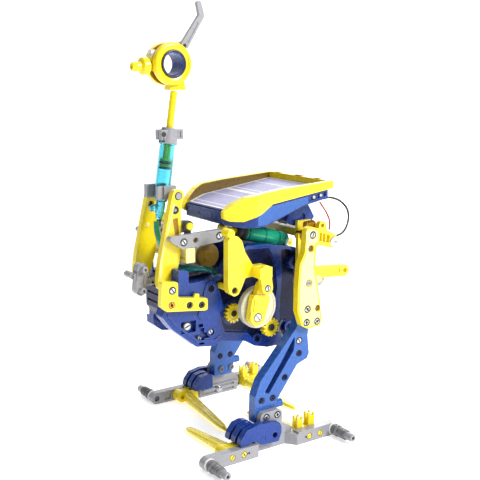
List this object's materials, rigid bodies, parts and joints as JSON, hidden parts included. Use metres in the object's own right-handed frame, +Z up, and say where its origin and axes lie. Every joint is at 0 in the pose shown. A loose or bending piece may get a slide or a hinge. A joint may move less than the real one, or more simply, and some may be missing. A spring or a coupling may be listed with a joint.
{
  "type": "walking bird robot kit",
  "caption": "Snap-together walking bird robot with ring eyes, a telescoping piston neck, geared cranks, two stepping legs on beam feet and a tilting solar panel.",
  "frame": {"origin": "bottom centre of the box round the whole kit, on the floor the feet stand on", "axes": "+Z up, beak towards -Y, the bird's left side towards +X"},
  "size_m": [0.182, 0.1902, 0.3194],
  "materials": {
    "yellow_plastic": "bright yellow moulded plastic, satin gloss",
    "blue_plastic": "mid blue moulded plastic, satin gloss",
    "navy_plastic": "deep blue moulded plastic, satin gloss",
    "grey_plastic": "light silver-grey moulded plastic",
    "dark_rubber": "black rubber seal ring",
    "teal_clear": "clear teal tinted plastic",
    "solar_cell": "lavender-grey cell under a thin clear film",
    "motor_steel": "drawn steel can",
    "wire_black": "black wire jacket",
    "wire_red": "dark red wire jacket"
  },
  "bodies": {
    "chassis": {"body_shell_left": "navy_plastic", "body_shell_right": "navy_plastic", "gearbox_case": "navy_plastic", "drive_motor": "motor_steel", "chest_bracket_left": "yellow_plastic", "chest_bracket_right": "yellow_plastic", "chest_post": "yellow_plastic", "front_lever_left": "yellow_plastic", "front_lever_right": "yellow_plastic", "neck_barrel": "teal_clear", "neck_cap": "grey_plastic", "neck_collar": "grey_plastic", "neck_nozzle": "teal_clear", "rear_yoke": "yellow_plastic", "pump_barrel": "teal_clear", "pump_collar": "dark_rubber", "transfer_hose": "teal_clear", "stay_link_left": "grey_plastic", "stay_link_right": "grey_plastic", "wire_black": "wire_black", "wire_red": "wire_red"},
    "connector": {"chest_connector": "grey_plastic"},
    "neck_rod": {"piston_rod": "yellow_plastic"},
    "head": {"eye_ring_left": "yellow_plastic", "eye_ring_right": "yellow_plastic", "eye_liner": "blue_plastic", "head_core": "yellow_plastic", "beak": "yellow_plastic"},
    "crest": {"crest": "grey_plastic"},
    "panel": {"panel_tray": "blue_plastic", "panel_frame": "yellow_plastic", "solar_cell_front": "solar_cell", "solar_cell_rear": "solar_cell", "panel_mount": "blue_plastic"},
    "plunger": {"pump_plunger": "yellow_plastic"},
    "hip_left": {"hip_crank_left": "grey_plastic"},
    "hip_right": {"hip_crank_right": "grey_plastic"},
    "leg_left": {"rear_plate_left": "yellow_plastic", "shin_left": "blue_plastic", "foot_frame_left": "grey_plastic", "front_claw_left": "yellow_plastic", "rear_claw_left": "yellow_plastic"},
    "leg_right": {"rear_plate_right": "yellow_plastic", "shin_right": "blue_plastic", "foot_frame_right": "grey_plastic", "front_claw_right": "yellow_plastic", "rear_claw_right": "yellow_plastic"},
    "toes_left": {"toes_left": "blue_plastic"},
    "toes_right": {"toes_right": "blue_plastic"},
    "disc_left": {"crank_disc_left": "yellow_plastic"},
    "disc_right": {"crank_disc_right": "yellow_plastic"},
    "lever_left": {"crank_lever_left": "yellow_plastic"},
    "lever_right": {"crank_lever_right": "yellow_plastic"},
    "rocker_left": {"rocker_arm_left": "yellow_plastic"},
    "rocker_right": {"rocker_arm_right": "yellow_plastic"},
    "idler_left": {"idler_gear_left": "yellow_plastic"},
    "idler_right": {"idler_gear_right": "yellow_plastic"},
    "pinion_left": {"pinion_left": "yellow_plastic"},
    "pinion_right": {"pinion_right": "yellow_plastic"}
  },
  "joints": [
    {"name": "connector_swivel", "type": "hinge", "parent": "chassis", "child": "connector", "pos_m": [0.0055, -0.07581, 0.1235], "axis": [0, 1, 0], "range_deg": [-45, 45]},
    {"name": "neck_lift", "type": "slide", "parent": "chassis", "child": "neck_rod", "axis": [0, 0.153, 0.9882], "range_m": [-0.014, 0.01]},
    {"name": "head_tilt", "type": "hinge", "parent": "neck_rod", "child": "head", "pos_m": [0, -0.05371, 0.258], "axis": [1, 0, 0], "range_deg": [-12, 8]},
    {"name": "crest_tilt", "type": "hinge", "parent": "head", "child": "crest", "pos_m": [0, -0.04631, 0.2886], "axis": [1, 0, 0], "range_deg": [-30, 30]},
    {"name": "panel_tilt", "type": "hinge", "parent": "chassis", "child": "panel", "pos_m": [0, 0.04619, 0.157], "axis": [1, 0, 0], "range_deg": [-20, 0], "deforming": ["wire_black", "wire_red"]},
    {"name": "pump_stroke", "type": "slide", "parent": "chassis", "child": "plunger", "axis": [0, 0.9657, -0.2597], "range_m": [-0.005, 0.008]},
    {"name": "rocker_left_swing", "type": "hinge", "parent": "chassis", "child": "rocker_left", "pos_m": [0, -0.03491, 0.1194], "axis": [1, 0, 0], "range_deg": [-2, 25]},
    {"name": "rocker_right_swing", "type": "hinge", "parent": "chassis", "child": "rocker_right", "pos_m": [0, -0.03491, 0.1194], "axis": [1, 0, 0], "range_deg": [-2, 25]},
    {"name": "hip_left_turn", "type": "hinge", "parent": "chassis", "child": "hip_left", "pos_m": [0, 0.03749, 0.1194], "axis": [1, 0, 0], "continuous": true},
    {"name": "hip_right_turn", "type": "hinge", "parent": "chassis", "child": "hip_right", "pos_m": [0, 0.03749, 0.1194], "axis": [1, 0, 0], "continuous": true},
    {"name": "leg_left_swing", "type": "hinge", "parent": "hip_left", "child": "leg_left", "pos_m": [0, 0.02199, 0.1194], "axis": [1, 0, 0], "continuous": true},
    {"name": "leg_right_swing", "type": "hinge", "parent": "hip_right", "child": "leg_right", "pos_m": [0, 0.05299, 0.1194], "axis": [1, 0, 0], "continuous": true},
    {"name": "toes_left_tip", "type": "hinge", "parent": "leg_left", "child": "toes_left", "pos_m": [0, -0.01151, 0.0118], "axis": [1, 0, 0], "range_deg": [-8, 0]},
    {"name": "toes_right_tip", "type": "hinge", "parent": "leg_right", "child": "toes_right", "pos_m": [0, 0.01949, 0.0118], "axis": [1, 0, 0], "range_deg": [-8, 0]},
    {"name": "disc_left_turn", "type": "hinge", "parent": "chassis", "child": "disc_left", "pos_m": [0, -0.01421, 0.1043], "axis": [1, 0, 0], "continuous": true},
    {"name": "disc_right_turn", "type": "hinge", "parent": "chassis", "child": "disc_right", "pos_m": [0, -0.01421, 0.1043], "axis": [1, 0, 0], "continuous": true},
    {"name": "lever_left_swing", "type": "hinge", "parent": "disc_left", "child": "lever_left", "pos_m": [0, -0.01941, 0.0987], "axis": [1, 0, 0], "range_deg": [-25, 25]},
    {"name": "lever_right_swing", "type": "hinge", "parent": "disc_right", "child": "lever_right", "pos_m": [0, -0.01941, 0.0987], "axis": [1, 0, 0], "range_deg": [-25, 25]},
    {"name": "idler_left_spin", "type": "hinge", "parent": "chassis", "child": "idler_left", "pos_m": [0, -0.02381, 0.097], "axis": [1, 0, 0], "continuous": true},
    {"name": "idler_right_spin", "type": "hinge", "parent": "chassis", "child": "idler_right", "pos_m": [0, -0.02381, 0.097], "axis": [1, 0, 0], "continuous": true},
    {"name": "pinion_left_spin", "type": "hinge", "parent": "chassis", "child": "pinion_left", "pos_m": [0, 0.00419, 0.0838], "axis": [1, 0, 0], "continuous": true},
    {"name": "pinion_right_spin", "type": "hinge", "parent": "chassis", "child": "pinion_right", "pos_m": [0, 0.00419, 0.0838], "axis": [1, 0, 0], "continuous": true}
  ],
  "couplings": [
    {"joint": "hip_right_turn", "follows": "hip_left_turn", "ratio": 1},
    {"joint": "leg_left_swing", "follows": "hip_left_turn", "ratio": -1},
    {"joint": "leg_right_swing", "follows": "hip_left_turn", "ratio": -1},
    {"joint": "disc_left_turn", "follows": "hip_left_turn", "ratio": 1},
    {"joint": "disc_right_turn", "follows": "hip_left_turn", "ratio": 1},
    {"joint": "idler_left_spin", "follows": "hip_left_turn", "ratio": -2},
    {"joint": "idler_right_spin", "follows": "hip_left_turn", "ratio": -2},
    {"joint": "pinion_left_spin", "follows": "hip_left_turn", "ratio": 2.5},
    {"joint": "pinion_right_spin", "follows": "hip_left_turn", "ratio": 2.5}
  ]
}
